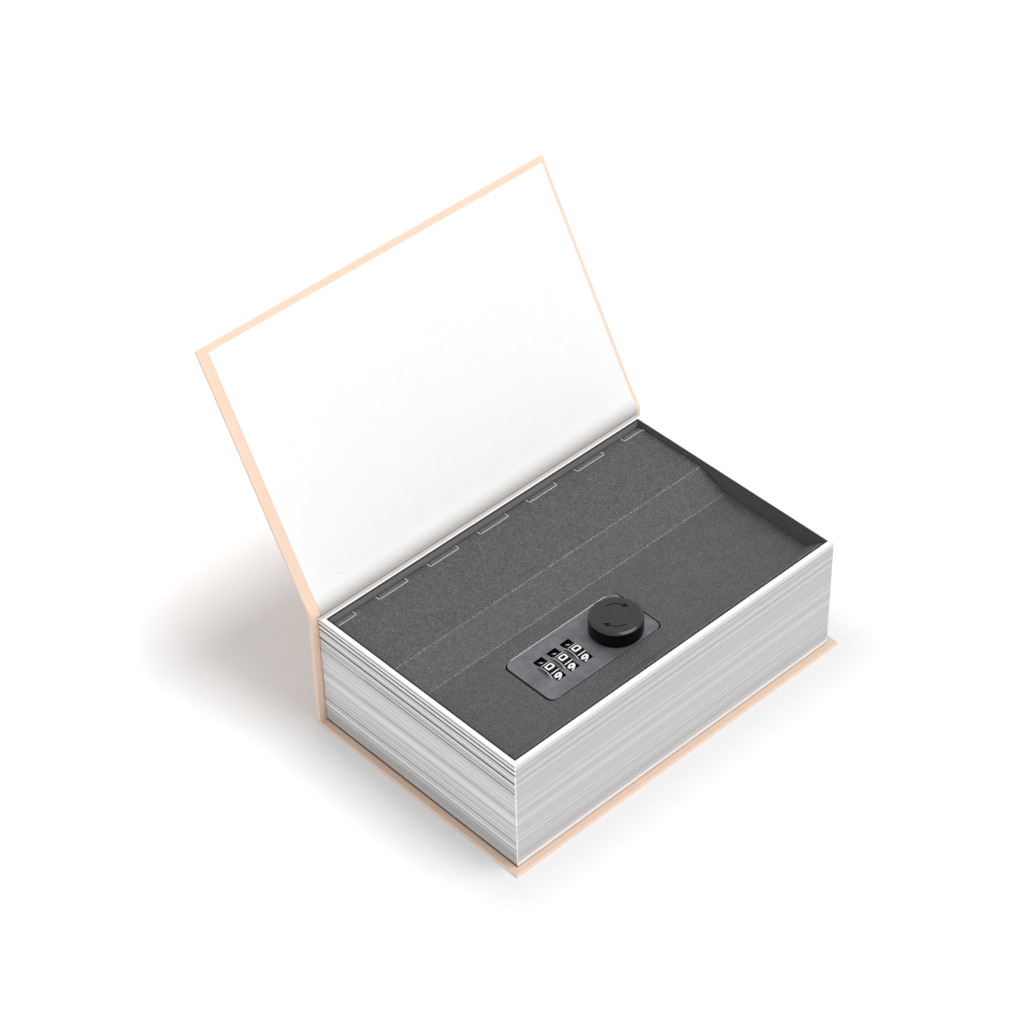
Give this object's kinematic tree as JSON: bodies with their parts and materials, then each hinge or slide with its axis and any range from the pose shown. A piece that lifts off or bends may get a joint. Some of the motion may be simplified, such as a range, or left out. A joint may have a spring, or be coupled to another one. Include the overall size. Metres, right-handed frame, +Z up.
{
  "type": "book diversion safe",
  "caption": "Hardback book hiding a steel cash box: front cover opens over a stepped hinged lid with a combination lock of dial wheels and a turning knob.",
  "frame": {"origin": "centre of the back cover's underside, which rests on the table", "axes": "+Z up, X along the spine, +Y towards the spine, -Y towards the fore-edge"},
  "size_m": [0.18, 0.1716, 0.1574],
  "materials": {
    "cover_paper": "coated printing paper, peach, satin",
    "endpaper": "smooth white paper",
    "greyboard": "raw grey board",
    "page_shell": "white shell ribbed like page edges",
    "box_powder_coat": "dark grey powder coat, fine texture",
    "lid_powder_coat": "dark grey powder coat, fine texture",
    "lock_plate": "satin gunmetal",
    "black_plastic": "glossy black",
    "housing_plastic": "moulded dark grey",
    "zinc_steel": "bright zinc plate",
    "brass": "plain machined brass"
  },
  "bodies": {
    "book": {"back_cover_board": "greyboard", "back_cover_paper": "cover_paper", "back_endpaper": "endpaper", "spine_board": "greyboard", "spine_paper": "cover_paper", "page_block": "page_shell", "steel_box": "box_powder_coat", "hinge_leaf": "box_powder_coat", "hinge_pin": "zinc_steel", "strike_bracket": "zinc_steel", "lid_rest_head": "box_powder_coat", "lid_rest_tail": "box_powder_coat"},
    "front_cover": {"front_cover_board": "greyboard", "front_cover_paper": "cover_paper", "front_endpaper": "endpaper"},
    "lid": {"lid_panel": "lid_powder_coat", "lid_stud_head": "zinc_steel", "lid_stud_tail": "zinc_steel", "lock_faceplate": "lock_plate", "lock_housing": "housing_plastic", "lock_back_cover": "zinc_steel", "lock_cover_screw_1": "zinc_steel", "lock_cover_screw_2": "zinc_steel", "lock_cover_screw_3": "zinc_steel", "lock_cover_screw_4": "zinc_steel", "lock_nut_head": "zinc_steel", "lock_nut_tail": "zinc_steel", "wheel_axle": "zinc_steel", "wheel_click_spring": "zinc_steel"},
    "dial_1": {"dial_wheel_1": "black_plastic", "code_sleeve_1": "brass"},
    "dial_2": {"dial_wheel_2": "black_plastic", "code_sleeve_2": "brass"},
    "dial_3": {"dial_wheel_3": "black_plastic", "code_sleeve_3": "brass"},
    "knob": {"knob": "black_plastic", "knob_spindle": "zinc_steel", "latch_cam": "zinc_steel", "cam_washer": "zinc_steel", "cam_nut": "zinc_steel"},
    "fence": {"fence_bar": "brass"},
    "code_slide": {"code_change_slide": "zinc_steel"}
  },
  "joints": [
    {"name": "cover_hinge", "type": "hinge", "parent": "book", "child": "front_cover", "pos_m": [0, 0.0567, 0.0577], "axis": [-1, 0, 0], "range_deg": [-119.5, 60.5]},
    {"name": "lid_hinge", "type": "hinge", "parent": "book", "child": "lid", "pos_m": [0, 0.0503, 0.053], "axis": [-1, 0, 0], "range_deg": [0, 96]},
    {"name": "knob_turn", "type": "hinge", "parent": "lid", "child": "knob", "pos_m": [-0.0039, -0.0238, 0.049], "axis": [0, 0, -1], "range_deg": [-90, 0]},
    {"name": "fence_slide", "type": "slide", "parent": "lid", "child": "fence", "axis": [1, 0, 0], "range_m": [-0.0016, 0]},
    {"name": "dial_1_spin", "type": "hinge", "parent": "lid", "child": "dial_1", "pos_m": [-0.0374, -0.0216, 0.0418], "axis": [1, 0, 0], "continuous": true},
    {"name": "dial_2_spin", "type": "hinge", "parent": "lid", "child": "dial_2", "pos_m": [-0.0303, -0.0216, 0.0418], "axis": [1, 0, 0], "continuous": true},
    {"name": "dial_3_spin", "type": "hinge", "parent": "lid", "child": "dial_3", "pos_m": [-0.0232, -0.0216, 0.0418], "axis": [1, 0, 0], "continuous": true},
    {"name": "code_slide_travel", "type": "slide", "parent": "lid", "child": "code_slide", "axis": [0, 1, 0], "range_m": [0, 0.0035]}
  ],
  "couplings": [
    {"joint": "fence_slide", "follows": "knob_turn", "m_per_rad": 0.0010185}
  ]
}
